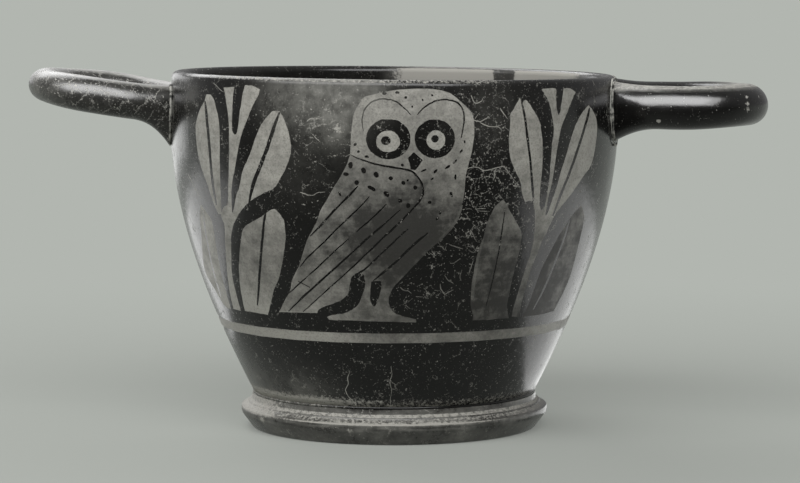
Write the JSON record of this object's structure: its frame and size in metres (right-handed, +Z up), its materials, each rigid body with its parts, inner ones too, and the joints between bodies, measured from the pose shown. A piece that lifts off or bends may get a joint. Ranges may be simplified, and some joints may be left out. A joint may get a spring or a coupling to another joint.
{
  "type": "skyphos cup",
  "caption": "Deep clay drinking cup with a ring foot and level loop handles on opposite sides, black gloss with an owl between leafy sprigs.",
  "frame": {"origin": "on the cup's axis, at the face that the foot stands on", "axes": "+Z up along the cup's axis, +X along the handles towards the right handle, -Y towards the side in the picture"},
  "size_m": [0.1684, 0.101, 0.0815],
  "materials": {
    "painted_clay": "black gloss slip on fired clay, with the figures left in the bare burnished clay",
    "gloss_clay": "black gloss slip on fired clay, worn pale along the edges",
    "luting_clay": "matt fired clay slip"
  },
  "bodies": {
    "root": {"bowl": "painted_clay", "foot_ring": "gloss_clay", "foot_luting": "luting_clay", "left_handle": "gloss_clay", "right_handle": "gloss_clay", "left_front_luting": "luting_clay", "left_back_luting": "luting_clay", "right_front_luting": "luting_clay", "right_back_luting": "luting_clay"}
  },
  "joints": []
}
